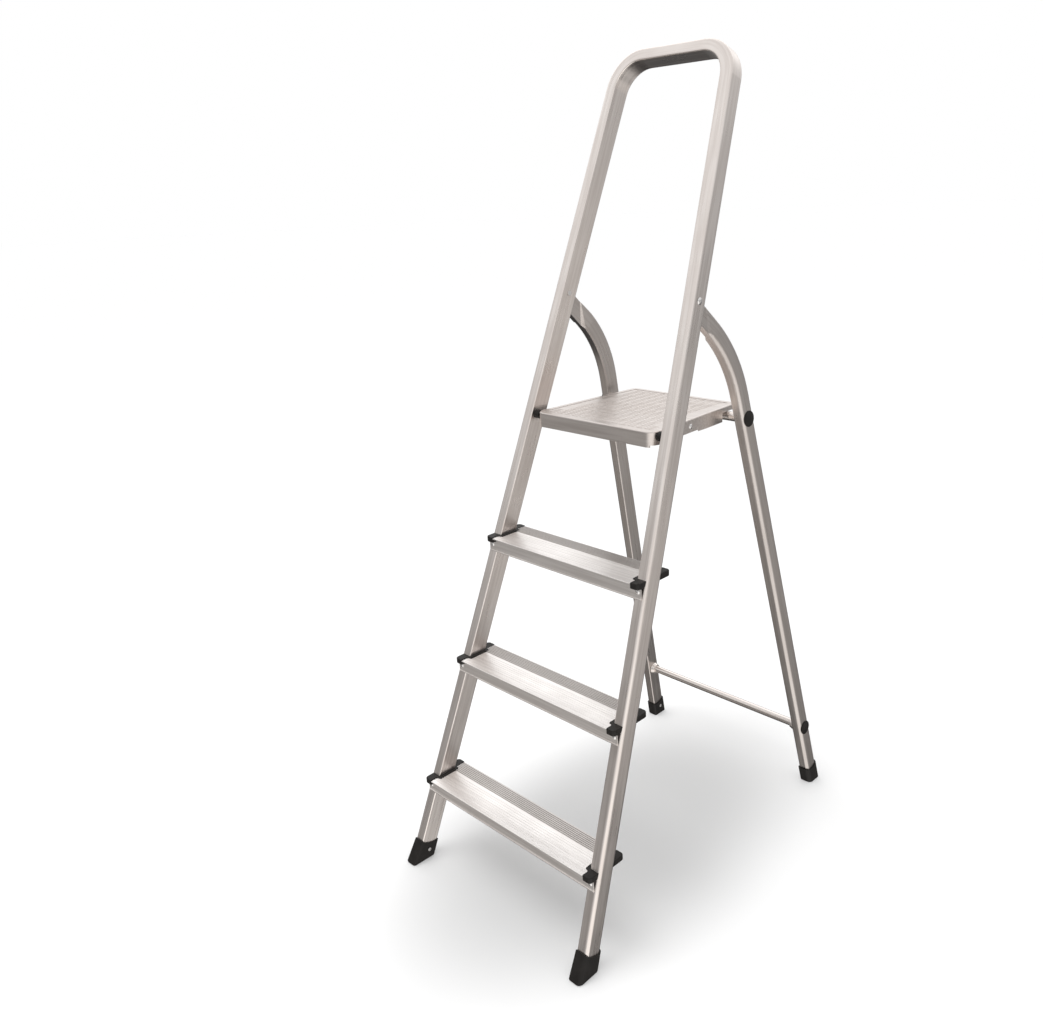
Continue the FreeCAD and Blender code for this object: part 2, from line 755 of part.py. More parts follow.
def leg_path(side, run):
    """Centre line of a leg, from its foot to a run past the start of its bend."""
    start, curved = float(dim("tube_start")), float(dim("leg_bend_radius")) * leg_bend_turn()
    foot_end = Vector(side * leg_x(start), 0, start)
    bend_end = min(run, curved)
    path = [Part.makeLine(foot_end, leg_top_point(side, 0.0)),
            Part.Arc(*[leg_top_point(side, bend_end * part) for part in (0.0, 0.5, 1.0)]).toShape()]
    if run > curved:
        path.append(Part.makeLine(leg_top_point(side, curved), leg_top_point(side, run)))
    return path


def pivot_in_leg():
    """The pivot's place in the legs' own frame, on the middle plane."""
    spot = REAR_PLACE.inverse().multVec(PIVOT)
    return Vector(0, spot.y, spot.z)


def tongue_middle(side, height):
    """Middle of the flattened end at a height along the leg: it follows the folded stile."""
    rise = height - pivot_in_leg().z
    return side * (stile_x(float(dim("pivot_height")) + rise) - float(dim("tongue_inset")))


def tongue(side):
    """Flattened end of a leg: a thick plate that carries the pivot hole."""
    tip, half, lug = float(dim("leg_tip_run")), float(dim("leg_depth")) / 2, float(dim("tongue_lug_radius"))
    pivot = pivot_in_leg()
    outer_root, inner_root = float(dim("flat_from_outside")), float(dim("flat_from_inside"))
    corners = [leg_top_point(side, run, depth) for run, depth in
               ((outer_root, half), (tip, half), (tip, -half), (inner_root, -half))]
    flat = [Vector(0, point.y, point.z) for point in corners]
    band = Part.Face(Part.makePolygon(flat + [flat[0]]))
    disc = Part.Face(Part.Wire(Part.makeCircle(lug, pivot, Vector(1, 0, 0))))
    outer_way, inner_way = (flat[1] - pivot).normalize(), (flat[2] - pivot).normalize()
    upper = pivot + Vector(0, -outer_way.z, outer_way.y) * lug
    lower = pivot + Vector(0, inner_way.z, -inner_way.y) * lug
    join = Part.Face(Part.makePolygon([flat[1], upper, pivot, lower, flat[2], flat[1]]))
    plate = band.fuse([disc, join]).removeSplitter()
    thick = float(dim("tongue_width"))
    upright = plate.extrude(Vector(thick, 0, 0)).translated(Vector(-thick / 2, 0, 0))
    shear = FreeCAD.Matrix()
    shear.A13 = -side * math.tan(SPLAY)
    shear.A14 = tongue_middle(side, 0.0)
    return upright.transformGeometry(shear)


def tube_flank(flank, point):
    """Point level with a point on the centre line, just outside the tube's full width."""
    width = float(dim("leg_width")) / 2 / math.cos(LEG_SPLAY)
    return Vector(point.x + flank * (width + 0.01), point.y, point.z)


def tongue_flank(side, flank, point):
    """Point level with a point on the centre line, on the tongue's flank."""
    return Vector(tongue_middle(side, point.z) + flank * float(dim("tongue_width")) / 2, point.y, point.z)


def flattening_cutters(side):
    """Solids that trim both flanks of a leg's top to the facets and the tongue's thickness.

    The flank towards the middle of the ladder is pressed lower down than the other, so that
    the folded leg clears the side of the slot in its stile.
    """
    cutters = []
    half_depth = float(dim("leg_depth")) / 2
    edges = ((-half_depth - 2.0, "full_to_inside", "flat_from_inside"),
             (half_depth + 8.0, "full_to_outside", "flat_from_outside"))
    for flank in (-1, 1):
        lower = float(dim("inner_press_lower")) if flank == -side else 0.0
        full, flat, end = [], [], []
        for depth, full_alias, flat_alias in edges:
            full_spot = leg_top_point(side, float(dim(full_alias)) - lower, depth)
            flat_spot = leg_top_point(side, float(dim(flat_alias)) - lower, depth)
            end_spot = leg_top_point(side, float(dim("leg_tip_run")) + 60.0, depth)
            full.append(tube_flank(flank, full_spot))
            flat.append(tongue_flank(side, flank, flat_spot))
            end.append(tongue_flank(side, flank, end_spot))
        ring = [full[0], full[1], flat[1], end[1], end[0], flat[0]]
        raised = [point + Vector(flank * 40.0, 0, 0) for point in ring]
        triangles = [(0, 1, 2), (0, 2, 5), (2, 3, 4), (2, 4, 5)]
        faces = [polygon_face([layer[index] for index in triangle])
                 for layer in (ring, raised) for triangle in triangles]
        for index in range(6):
            after = (index + 1) % 6
            faces.append(polygon_face([ring[index], ring[after], raised[after]]))
            faces.append(polygon_face([ring[index], raised[after], raised[index]]))
        cutters.append(Part.makeSolid(Part.makeShell(faces)))
    return cutters


def polygon_face(points):
    return Part.Face(Part.makePolygon(points + [points[0]]))


def make_leg(side_name):
    side = SIDES[side_name]
    start = float(dim("tube_start"))
    outer = sweep(leg_path(side, float(dim("leg_tip_run"))), leg_section(start, 0.0, side))
    inner_section = leg_section(start, -float(dim("leg_wall")), side)
    hollow = sweep(leg_path(side, float(dim("leg_hollow_run"))), inner_section)
    blank = outer.cut(hollow)
    for cutter in flattening_cutters(side):
        blank = blank.cut(cutter)
    solid = blank.fuse(tongue(side)).removeSplitter()
    leg = feature(f"rear_leg_blank_{side_name}", solid, REAR_PLACE)
    middle = tongue_middle(side, pivot_in_leg().z)
    bore = dim("pivot_shank") - dim("shank_slack") + dim("running_gap")
    tools = [cylinder(f"pivot_bore_{side_name}", bore, 60.0,
                      Vector(middle - 30.0, PIVOT.y, PIVOT.z), Vector(1, 0, 0))]
    tools.append(tube_screw_hole(f"leg_screw_hole_{side_name}", "rear_foot", side))
    for name, height, radius in cross_tubes():
        spot = leg_point(float(height))
        base = Vector(side * (spot.x - 30.0), spot.y, spot.z)
        hole = cylinder(f"{name}_hole_{side_name}", radius + dim("fit_gap"), 60.0, base, Vector(side, 0, 0))
        tools.append(hole)
    return cut(f"rear_leg_{side_name}", leg, tools)


def cross_tubes():
    return [("support", dim("support_height"), dim("support_radius")),
            ("brace", dim("brace_height"), dim("brace_radius"))]


def make_cross_tubes():
    """The two tubes that tie the rear legs, with a domed plug in each end."""
    names = {"support": ("platform_support_tube", "support_tube_cap"), "brace": ("brace_tube", "brace_cap")}
    for kind, height, radius in cross_tubes():
        tube_name, cap_name = names[kind]
        spot = leg_point(float(height))
        half = spot.x + float(dim("leg_width")) / 2 - 0.5
        base = Vector(-half, spot.y, spot.z)
        blank = cylinder(f"{tube_name}_blank", radius, as_size(half * 2), base, Vector(1, 0, 0))
        bore = cylinder(f"{tube_name}_bore", radius - dim("cross_tube_wall"), as_size(half * 2 + 2.0),
                        base - Vector(1, 0, 0), Vector(1, 0, 0))
        cut(tube_name, blank, [bore])
        for side_name, side in SIDES.items():
            cap = cap_shape(float(radius) - float(dim("cross_tube_wall")))
            outward = REAR_PLACE.Rotation.multVec(
                Vector(side * math.cos(LEG_SPLAY), 0, math.sin(LEG_SPLAY)))
            face = Vector(side * spot.x, spot.y, spot.z) + outward * (float(dim("leg_width")) / 2 + 0.05)
            feature(f"{cap_name}_{side_name}", cap, Placement(face, Rotation(Vector(0, 0, 1), outward)))


def cap_shape(plug):
    """Domed plastic plug: the dome above z = 0, the plain stem that sits in the tube below."""
    radius, dome = float(dim("cap_radius")), float(dim("cap_dome"))
    stem, end = plug - float(dim("cap_stem_slack")), -float(dim("cap_stem"))
    profile = Part.Wire([
        Part.makeLine(Vector(0, 0, end), Vector(stem, 0, end)),
        Part.makeLine(Vector(stem, 0, end), Vector(stem, 0, 0)),
        Part.makeLine(Vector(stem, 0, 0), Vector(radius, 0, 0)),
        Part.makeLine(Vector(radius, 0, 0), Vector(radius, 0, dome * 0.35)),
        dome_edge(radius, dome * 0.35, dome),
        Part.makeLine(Vector(0, 0, dome), Vector(0, 0, end)),
    ])
    return Part.Face(profile).revolve(Vector(0, 0, 0), Vector(0, 0, 1), 360)


def make_brace_collars():
    """Flared collar round the brace tube against each leg's inner face."""
    spot = leg_point(float(dim("brace_height")))
    inner, outer = float(dim("brace_radius")) + 0.1, float(dim("collar_radius"))
    rim, wall, length = float(dim("collar_rim")), float(dim("collar_wall")), float(dim("collar_length"))
    corners = [(inner, 0.0), (outer, 0.0), (outer, rim),
               (inner + wall, length), (inner, length), (inner, 0.0)]
    profile = Part.makePolygon([Vector(x, 0, z) for x, z in corners])
    shape = Part.Face(profile).revolve(Vector(0, 0, 0), Vector(0, 0, 1), 360)
    for side_name, side in SIDES.items():
        gap = outer * math.tan(LEG_SPLAY) + 0.1
        inner_face = spot.x - float(dim("leg_width")) / 2 / math.cos(LEG_SPLAY) - gap
        turned = Rotation(Vector(0, 0, 1), Vector(-side, 0, 0))
        base = Vector(side * inner_face, spot.y, spot.z)
        feature(f"brace_collar_{side_name}", shape, Placement(base, turned))


# ---------------------------------------------------------------- leg pivots
def make_pivots():
    """Rivets that the legs turn on, and the plastic washers that centre the tongues."""
    half = STILE_HALF / math.cos(SPLAY)
    shank, head_radius = float(dim("pivot_shank") - dim("shank_slack")), float(dim("pivot_head"))
    lean_of_head = (head_radius + 0.5) * math.tan(SPLAY)
    rivets, washers = [], []
    for side in SIDES.values():
        middle = stile_x(float(dim("pivot_height")))
        shape = rivet_shape(shank, 2 * half + 2 * lean_of_head, head_radius, float(dim("pivot_head_rise")))
        head = Vector(side * (middle + half + lean_of_head), PIVOT.y, PIVOT.z)
        rivets.append(placed(shape, head, Vector(-side, 0, 0)))
        outward = FRONT_PLACE.Rotation.multVec(Vector(side * math.cos(SPLAY), 0, math.sin(SPLAY)))
        centre = Vector(side * middle, PIVOT.y, PIVOT.z)
        wall = float(dim("stile_width") / 2 - dim("stile_wall") - dim("running_gap"))
        tongue_half = float(dim("tongue_width")) / 2 + float(dim("washer_gap"))
        inset = float(dim("tongue_inset")) * math.cos(SPLAY)
        for end in (-1, 1):
            near = tongue_half - end * inset
            direction = outward * end
            ring = Part.makeCylinder(float(dim("washer_radius")), wall - near,
                                     centre + direction * near, direction)
            hole = Part.makeCylinder(float(dim("pivot_shank")), 60.0,
                                     centre - Vector(30.0, 0, 0), Vector(1, 0, 0))
            washers.append(ring.cut(hole))
    group("leg_pivot_rivets", rivets)
    group("leg_pivot_washers", washers)


# ---------------------------------------------------------------- platform
def platform_half(y):
    """Half width of the platform at y, tapering towards its back."""
    front, back = float(dim("platform_front")), float(dim("platform_back"))
    share = (y - front) / (back - front)
    near, far = float(dim("platform_front_half")), float(dim("platform_back_half"))
    return near + (far - near) * share


def platform_plan(inset=0.0):
    """Corners of the platform's outline, drawn in by a margin."""
    near, far = dim("platform_front_half") - inset, dim("platform_back_half") - inset
    front, back = dim("platform_front") + inset, dim("platform_back") - inset
    return [(-near, front), (near, front), (far, back), (-far, back)]


def make_platform():
    """Tray pressed from sheet: a recessed top with turned-down flanges, notched over the support tube."""
    body = doc.addObject("PartDesign::Body", "platform_pressing")
    top, skirt, sheet_thick = dim("platform_top"), dim("platform_skirt"), dim("platform_sheet")
    blank_sketch = outline(body, "XY_Plane", "platform_outline", platform_plan(), top - skirt)
    blank = pad(body, "platform_blank", blank_sketch, skirt)
    rounded = round_edges(body, blank, "platform_corners", upright_edges(blank), dim("platform_corner"))
    rolled = round_edges(body, rounded, "platform_rolled_rim", level_edges(rounded, top),
                         dim("platform_rim_round"))
    under = [f"Face{index}" for index, face in enumerate(rolled.Shape.Faces, start=1)
             if abs(face.CenterOfMass.z - float(top - skirt)) < 0.01]
    shell = body.newObject("PartDesign::Thickness", "platform_shell")
    shell.Base = (rolled, under)
    bind(shell, Value=sheet_thick)
    shell.Reversed = True
    step, margin = dim("panel_step"), dim("panel_margin")
    panel_sketch = outline(body, "XY_Plane", "platform_panel_outline", platform_plan(margin - sheet_thick),
                           top - sheet_thick - step)
    pad(body, "platform_panel", panel_sketch, sheet_thick)
    doc.recompute()
    before = body.Shape.Volume
    recess_sketch = outline(body, "XY_Plane", "platform_recess_outline", platform_plan(margin), top - step)
    recess = body.newObject("PartDesign::Pocket", "platform_recess")
    recess.Profile = recess_sketch
    bind(recess, Length=step + 1.0)
    recess.Reversed = True
    recess_sketch.Visibility = False
    doc.recompute()
    if body.Shape.Volume > before - 1000:
        raise RuntimeError("the platform's recess cut nothing")
    return cut("platform_tray", body, platform_cutters())


def platform_cutters():
    """Notch over the support tube, the raised edges of the side flanges and the rivet holes."""
    top, front = float(dim("platform_top")), float(dim("platform_front"))
    low = top - float(dim("platform_skirt")) - 5.0
    notch_top = float(dim("support_height")) + float(dim("support_radius")) + 0.3
    tube_y = leg_point(float(dim("support_height"))).y
    notch_front = tube_y - float(dim("support_radius")) - float(dim("notch_ahead"))
    tools = [box("platform_tube_notch", (-200.0, notch_front, low), (400.0, 100.0, notch_top - low))]
    for side_name, side in SIDES.items():
        edge = float(dim("platform_front_half")) - 10.0
        start = edge if side > 0 else -edge - 100.0
        tools.append(box(f"platform_side_rise_{side_name}", (start, front - 5.0, low),
                         (100.0, 270.0, dim("platform_side_rise") + 5.0)))
        pin_bore = dim("hinge_pin") - dim("shank_slack") + dim("running_gap")
        tools.append(across_flange(f"platform_hinge_bore_{side_name}", side, pin_bore, HINGE))
        tools.append(across_flange(f"platform_side_hole_{side_name}", side,
                                   dim("rivet_shank"), stiffener_spot()))
    return tools


def across_flange(name, side, radius, spot):
    """Hole through a side flange of the platform, parallel to X."""
    inside = side * (platform_half(spot.y) - 20.0)
    return cylinder(name, radius, 40.0, Vector(inside, spot.y, spot.z), Vector(side, 0, 0))


def stiffener_spot():
    return Vector(0, float(dim("stiffener_y")), float(dim("platform_top") - dim("stiffener_drop")))


def make_stiffener():
    """Channel under the platform, closed by an ear at each end that is riveted to a side flange."""
    spot = stiffener_spot()
    web, flange, thick = dim("stiffener_half_height"), dim("stiffener_half_depth"), dim("stiffener_sheet")
    ear_depth = float(flange) - 1.0
    half = platform_half(spot.y + float(flange) + 1.0) - float(dim("platform_sheet")) / math.cos(SPLAY) - 0.25
    body = doc.addObject("PartDesign::Body", "stiffener_channel")
    profile = [(-flange, web), (-flange + thick, web), (-flange + thick, -web + thick),
               (flange - thick, -web + thick), (flange - thick, web), (flange, web),
               (flange, -web), (-flange, -web)]
    sketch = outline(body, "YZ_Plane", "stiffener_section", profile)
    pad(body, "stiffener_pad", sketch, as_size(half * 2), symmetric=True)
    body.Placement = Placement(Vector(0, spot.y, spot.z + 0.2), Rotation())
    ears, holes = [], []
    for side_name, side in SIDES.items():
        ear_start = min(side * half, side * (half - float(thick)))
        ear_corner = (ear_start, spot.y - ear_depth, spot.z - float(web) + 1.0)
        ears.append(box(f"stiffener_ear_{side_name}", ear_corner, (thick, 2 * ear_depth, web * 2 - 1.5)))
        holes.append(cylinder(f"stiffener_hole_{side_name}", dim("rivet_shank"), 8.0,
                              Vector(side * (half - 5.0), spot.y, spot.z), Vector(side, 0, 0)))
    joined = fuse("stiffener_joined", [body] + ears)
    return cut("platform_stiffener", joined, holes)


def make_side_rivets():
    spot = stiffener_spot()
    outer = platform_half(spot.y)
    shape = rivet_shape(rivet_shank(), float(dim("side_rivet_grip")),
                        float(dim("side_rivet_head")), float(dim("side_rivet_rise")))
    rivets = [placed(shape, Vector(side * (outer + 0.35), spot.y, spot.z), Vector(-side, 0, 0))
              for side in SIDES.values()]
    return group("platform_side_rivets", rivets)


def make_hinges():
    """Round spacers between the stiles and the platform, and the headed pins it turns on."""
    pins = []
    behind = float(dim("hinge_pin_behind"))
    inner = stile_x(float(dim("hinge_height"))) - STILE_HALF / math.cos(SPLAY)
    slope = float(dim("spacer_radius")) * math.tan(SPLAY)
    flange = platform_half(HINGE.y)
    for side_name, side in SIDES.items():
        near, far = flange + slope + 0.25, inner - slope - 0.1
        start = Vector(side * near, HINGE.y, HINGE.z)
        blank = cylinder(f"platform_spacer_blank_{side_name}", dim("spacer_radius"), far - near, start,
                         Vector(side, 0, 0))
        bore = cylinder(f"platform_spacer_bore_{side_name}", dim("hinge_pin"), 40.0,
                        start - Vector(side * 5.0, 0, 0), Vector(side, 0, 0))
        cut(f"platform_spacer_{side_name}", blank, [bore])
        grip = inner - flange + float(dim("stile_wall")) + behind + 1.8
        shape = rivet_shape(float(dim("hinge_pin") - dim("shank_slack")), grip,
                            float(dim("hinge_pin_head")), float(dim("hinge_pin_rise")))
        pins.append(placed(shape, Vector(side * (flange - behind), HINGE.y, HINGE.z), Vector(side, 0, 0)))
    return group("platform_hinge_pins", pins)


# ---------------------------------------------------------------- the whole ladder
def node_names():
    names = ["front_frame_tube", "tread_rivets", "front_foot_screws", "rear_foot_screws", "leg_pivot_rivets",
             "leg_pivot_washers", "platform_tray", "platform_stiffener", "platform_side_rivets",
             "platform_hinge_pins", "platform_support_tube", "brace_tube"]
    names += list(TREADS)
    for side_name in SIDES:
        names += [f"{tread}_trim_{side_name}" for tread in TREADS]
        names += [f"{part}_{side_name}" for part in
                  ("front_foot", "rear_foot", "rear_leg", "support_tube_cap", "brace_cap", "brace_collar",
                   "platform_spacer")]
    return names


def build():
    make_front_frame()
    gap = float(dim("fit_gap"))
    clearance = {side_name: stile_prism(f"stile_clearance_{side_name}", side, gap, 80.0, 760.0)
                 for side_name, side in SIDES.items()}
    for tread in TREADS:
        make_tread(tread)
        for side_name in SIDES:
            make_trim(tread, side_name, clearance)
    make_tread_rivets()
    make_feet()
    make_screws()
    for side_name in SIDES:
        make_leg(side_name)
    make_cross_tubes()
    make_brace_collars()
    make_pivots()
    make_platform()
    make_stiffener()
    make_side_rivets()
    make_hinges()
    doc.recompute()


def check_and_write():
    broken = [item.Label for item in doc.Objects if "Invalid" in item.State or "Error" in item.State]
    if broken:
        raise RuntimeError(f"failed objects: {broken}")
    os.makedirs("parts", exist_ok=True)
    for name in node_names():
        thing = doc.getObjectsByLabel(name)[0]
        if thing.Shape.isNull() or not thing.Shape.isValid():
            raise RuntimeError(f"{name} has no valid shape")
        thing.Shape.exportStep(f"parts/{name}.step")
        print(name, len(thing.Shape.Solids), round(thing.Shape.Volume / 1000, 1))


build()
check_and_write()
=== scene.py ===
"""Looks of a platform step ladder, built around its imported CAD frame. Lengths are in metres."""

import json
import math

import bmesh
import bpy
from mathutils import Matrix, Vector


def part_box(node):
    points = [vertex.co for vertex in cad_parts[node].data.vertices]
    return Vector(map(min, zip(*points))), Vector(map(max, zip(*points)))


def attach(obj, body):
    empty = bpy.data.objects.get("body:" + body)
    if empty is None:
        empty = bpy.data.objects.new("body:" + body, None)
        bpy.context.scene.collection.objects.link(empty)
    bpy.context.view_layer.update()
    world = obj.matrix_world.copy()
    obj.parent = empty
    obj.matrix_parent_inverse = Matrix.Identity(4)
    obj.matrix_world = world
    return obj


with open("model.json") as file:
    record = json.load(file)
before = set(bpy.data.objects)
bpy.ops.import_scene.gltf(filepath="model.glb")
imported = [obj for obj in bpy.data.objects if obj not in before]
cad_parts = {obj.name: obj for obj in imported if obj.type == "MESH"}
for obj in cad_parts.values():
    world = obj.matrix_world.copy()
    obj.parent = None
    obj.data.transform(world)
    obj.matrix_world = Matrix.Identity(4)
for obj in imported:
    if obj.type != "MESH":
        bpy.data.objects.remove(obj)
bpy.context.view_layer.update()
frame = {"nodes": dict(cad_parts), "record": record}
nodes = frame["nodes"]
scene = bpy.context.scene

MM = 0.001
WHITE = (1.0, 1.0, 1.0, 1.0)

# ---------------------------------------------------------------- the ladder's own directions
# The stiles and the legs start on the floor at these places and lean towards each other.
FRAME_FOOT = Vector((0.0, -0.34538, 0.0))
LEG_FOOT = Vector((0.0, 0.35512, 0.0))
TILT = math.radians(20.5)
LEAN = math.radians(13.54)
# Each side comes in towards the middle by this share of the way up along it.
STILE_SPLAY = math.tan(math.radians(3.72))
LEG_SPLAY = math.tan(math.radians(3.6))
# The handle's corners turn about lines this far out from the middle and this far up along the stiles.
HANDLE_BEND_X = 0.157
HANDLE_BEND_Z = 1.4346
# The legs bend about a line this far in front of them and this far up along them.
LEG_BEND_RADIUS = 0.245
LEG_BEND_Z = 0.867
# The treads' coarse ribs start this far behind the middle of the stiles; the painted shade over the ribs
# fades in over the edge.
RIB_BAND_START = 15.0 * MM
RIB_BAND_EDGE = 1.0 * MM


# ---------------------------------------------------------------- node helpers
class Shader:
    """The node tree of a material or a world: each call adds nodes and returns an output."""

    def __init__(self, owner):
        owner.use_nodes = True
        self.owner = owner
        self.tree = owner.node_tree
        self.tree.nodes.clear()

    def node(self, kind, settings=None, inputs=None, output=0):
        made = self.tree.nodes.new(kind)
        for name, value in (settings or {}).items():
            setattr(made, name, value)
        for key, value in (inputs or {}).items():
            self.feed(made.inputs[key], value)
        return made.outputs[output]

    def feed(self, socket, value):
        if isinstance(value, bpy.types.NodeSocket):
            self.tree.links.new(value, socket)
        else:
            socket.default_value = value

    def maths(self, operation, first, second=0.0):
        return self.node("ShaderNodeMath", {"operation": operation}, {0: first, 1: second})

    def place(self):
        """Position in the ladder's own frame; it moves with the piece."""
        return self.node("ShaderNodeTexCoord", output="Object")

    def split(self, vector):
        made = self.tree.nodes.new("ShaderNodeSeparateXYZ")
        self.feed(made.inputs[0], vector)
        return made.outputs[:]

    def join(self, x, y, z):
        return self.node("ShaderNodeCombineXYZ", inputs={0: x, 1: y, 2: z})

    def noise(self, vector, scale, detail, roughness):
        return self.node("ShaderNodeTexNoise", inputs={
            "Vector": vector, "Scale": scale, "Detail": detail, "Roughness": roughness})

    def remap(self, value, low, high, to_low, to_high, easing="LINEAR"):
        """Value carried from one range to another, and held at the ends of the second."""
        return self.node("ShaderNodeMapRange", {"clamp": True, "interpolation_type": easing}, {
            0: value, 1: low, 2: high, 3: to_low, 4: to_high})

    def mix(self, share, first, second):
        """Colour between two others, each an output or a fixed colour."""
        made = self.tree.nodes.new("ShaderNodeMix")
        made.data_type = "RGBA"
        self.feed(made.inputs["Factor"], share)
        self.feed(made.inputs["A"], first)
        self.feed(made.inputs["B"], second)
        return made.outputs["Result"]

    def ramp(self, height, stops):
        """Brightness against height: stops are (height from -1 to 1, brightness)."""
        made = self.tree.nodes.new("ShaderNodeValToRGB")
        made.color_ramp.interpolation = "EASE"
        elements = made.color_ramp.elements
        while len(elements) > 1:
            elements.remove(elements[-1])
        for index, (level, brightness) in enumerate(stops):
            position = (level + 1) / 2
            element = elements[0] if index == 0 else elements.new(position)
            element.position = position
            element.color = rgb(brightness)
        half = self.node("ShaderNodeMath", {"operation": "MULTIPLY_ADD"}, {0: height, 1: 0.5, 2: 0.5})
        self.feed(made.inputs[0], half)
        return made.outputs[0]

    def bump(self, height, distance):
        return self.node("ShaderNodeBump", inputs={"Height": height, "Distance": distance})

    def surface(self, **sockets):
        """Closes the tree with a surface, and returns the material."""
        inputs = {name.replace("_", " "): value for name, value in sockets.items()}
        self.close(self.node("ShaderNodeBsdfPrincipled", inputs=inputs))
        return self.owner

    def close(self, shader, kind="ShaderNodeOutputMaterial"):
        out = self.tree.nodes.new(kind)
        self.feed(out.inputs["Surface"], shader)


def new_material(name):
    return Shader(bpy.data.materials.new(name))


# Green loses this share of what blue loses, which makes a warm grey.
GREEN_LOSS = 0.62


def rgb(value, warm=0.0):
    """Grey with a share of warmth taken from its blue."""
    return (value, value * (1 - warm * GREEN_LOSS), value * (1 - warm), 1.0)


# ---------------------------------------------------------------- materials
# A pattern is a noise's scale, detail and roughness. Lines are such a noise drawn out along the metal.
FINE_LINES = (1500.0, 3.0, 0.6)
FINE_DRAWN_OUT = 0.012
FINE_HEIGHT = 0.5
BROAD_LINES = (240.0, 2.0, 0.5)
BROAD_DRAWN_OUT = 0.03
CLOUDS = (14.0, 3.0, 0.55)
PLASTIC_GRAIN = (2200.0, 2.0, 0.6)
PLASTIC_WEAR = (60.0, 4.0, 0.6)
METAL_GRAIN = (900.0, 3.0, 0.6)
# Depth of each relief.
LINE_DEPTH = 0.06 * MM
PLASTIC_GRAIN_DEPTH = 0.08 * MM
METAL_GRAIN_DEPTH = 0.02 * MM
# Parts of drawn metal, as shares of its own tone and of its own warmth.
LIGHT_LINE = (1.04, 1.0)
DARK_LINE = (0.90, 1.2)
STAIN = (0.90, 1.3)
# Painted shade: the treads' band of coarse ribs is darkened to these shares, standing in for the shade
# between the ribs.
PAINTED_RIB_SHADE = (0.62, 1.5)
STAIN_STRENGTH = 0.35
# Noise values between which one look turns into the other.
LINE_EDGES = (0.38, 0.62)
STAIN_EDGES = (0.35, 0.65)
WEAR_EDGES = (0.45, 0.75)
METAL_EDGES = (0.35, 0.65)
ROUGHNESS_EDGES = (0.3, 0.7)
# What is added to a roughness at those edges.
LINE_ROUGHNESS = 0.03
CLOUD_ROUGHNESS = (-0.03, 0.05)
PLASTIC_ROUGHNESS = (-0.06, 0.08)
METAL_ROUGHNESS = (-0.04, 0.06)
PLASTIC_WARMTH = 0.22
PLASTIC_GLOSS = 0.22
WORN_TONE = 1.7
METAL_DARK_TONE = 0.92
METAL_DARK_WARMTH = 0.04
METAL_WARMTH = 0.03


def tube_axes(shader, foot, turn):
    """Coordinates in the plane of a leaning frame: |x|, through its depth, along it."""
    moved = shader.node("ShaderNodeVectorMath", {"operation": "SUBTRACT"}, {0: shader.place(), 1: foot})
    turned = shader.node("ShaderNodeVectorRotate", {"rotation_type": "X_AXIS"},
                         {"Vector": moved, "Angle": turn})
    x, y, z = shader.split(turned)
    return shader.maths("ABSOLUTE", x), y, z


def past(shader, value, start):
    """How far a coordinate is past a place, and nothing before it."""
    return shader.maths("MAXIMUM", shader.maths("SUBTRACT", value, start), 0.0)


def length_of(shader, first, second):
    """Length of a vector with two coordinates."""
    squares = [shader.maths("MULTIPLY", value, value) for value in (first, second)]
    return shader.maths("SQRT", shader.maths("ADD", *squares))


def lines_along(shader, axes, drawn_out, pattern):
    """The pattern, with the last of the axes shortened so that it turns into lines along it."""
    across, depth, along = axes
    return shader.noise(shader.join(across, depth, shader.maths("MULTIPLY", along, drawn_out)), *pattern)


def shade(tone, warm, part):
    """Colour of one part of drawn metal."""
    tone_share, warm_share = part
    return rgb(tone * tone_share, warm * warm_share)


def roughness_by(shader, pattern, roughness, added):
    """Roughness that follows a pattern, by what is added to it where the pattern is low and high."""
    low, high = added
    return shader.remap(pattern, *ROUGHNESS_EDGES, roughness + low, roughness + high)


def drawn_aluminium(shader, axes, tone, roughness=0.30, warm=0.11, lines=1.0, painted_rib_shade=None):
    """Mill-finish aluminium with fine lines along the way it was drawn, darker with painted shade where its
    shade mask is 1.
    """
    fine = lines_along(shader, axes, FINE_DRAWN_OUT, FINE_LINES)
    broad = lines_along(shader, axes, BROAD_DRAWN_OUT, BROAD_LINES)
    cloud = shader.noise(shader.place(), *CLOUDS)
    light_share = shader.remap(broad, *LINE_EDGES, 0.0, 1.0)
    colour = shader.mix(light_share, shade(tone, warm, DARK_LINE), shade(tone, warm, LIGHT_LINE))
    stain_share = shader.remap(cloud, *STAIN_EDGES, 0.0, STAIN_STRENGTH)
    colour = shader.mix(stain_share, colour, shade(tone, warm, STAIN))
    # Painted shade, full where the mask is 1.
    if painted_rib_shade is not None:
        colour = shader.mix(painted_rib_shade, colour, shade(tone, warm, PAINTED_RIB_SHADE))
    rough = shader.maths("ADD", shader.remap(cloud, *ROUGHNESS_EDGES, *CLOUD_ROUGHNESS),
                         roughness_by(shader, broad, roughness, (-LINE_ROUGHNESS, LINE_ROUGHNESS)))
    height = shader.maths("ADD", shader.maths("MULTIPLY", fine, FINE_HEIGHT), broad)
    normal = shader.bump(height, LINE_DEPTH * lines)
    return shader.surface(Base_Color=colour, Metallic=1.0, Roughness=rough, Normal=normal)


def frame_aluminium(name, **looks):
    """Lines that run up the stiles and follow the bends into the handle."""
    shader = new_material(name)
    x, y, z = tube_axes(shader, FRAME_FOOT, TILT)
    spread = shader.maths("ADD", x, shader.maths("MULTIPLY", z, STILE_SPLAY))
    across = length_of(shader, past(shader, spread, HANDLE_BEND_X), past(shader, z, HANDLE_BEND_Z))
    along = shader.maths("SUBTRACT", z, x)
    return drawn_aluminium(shader, (across, y, along), **looks)


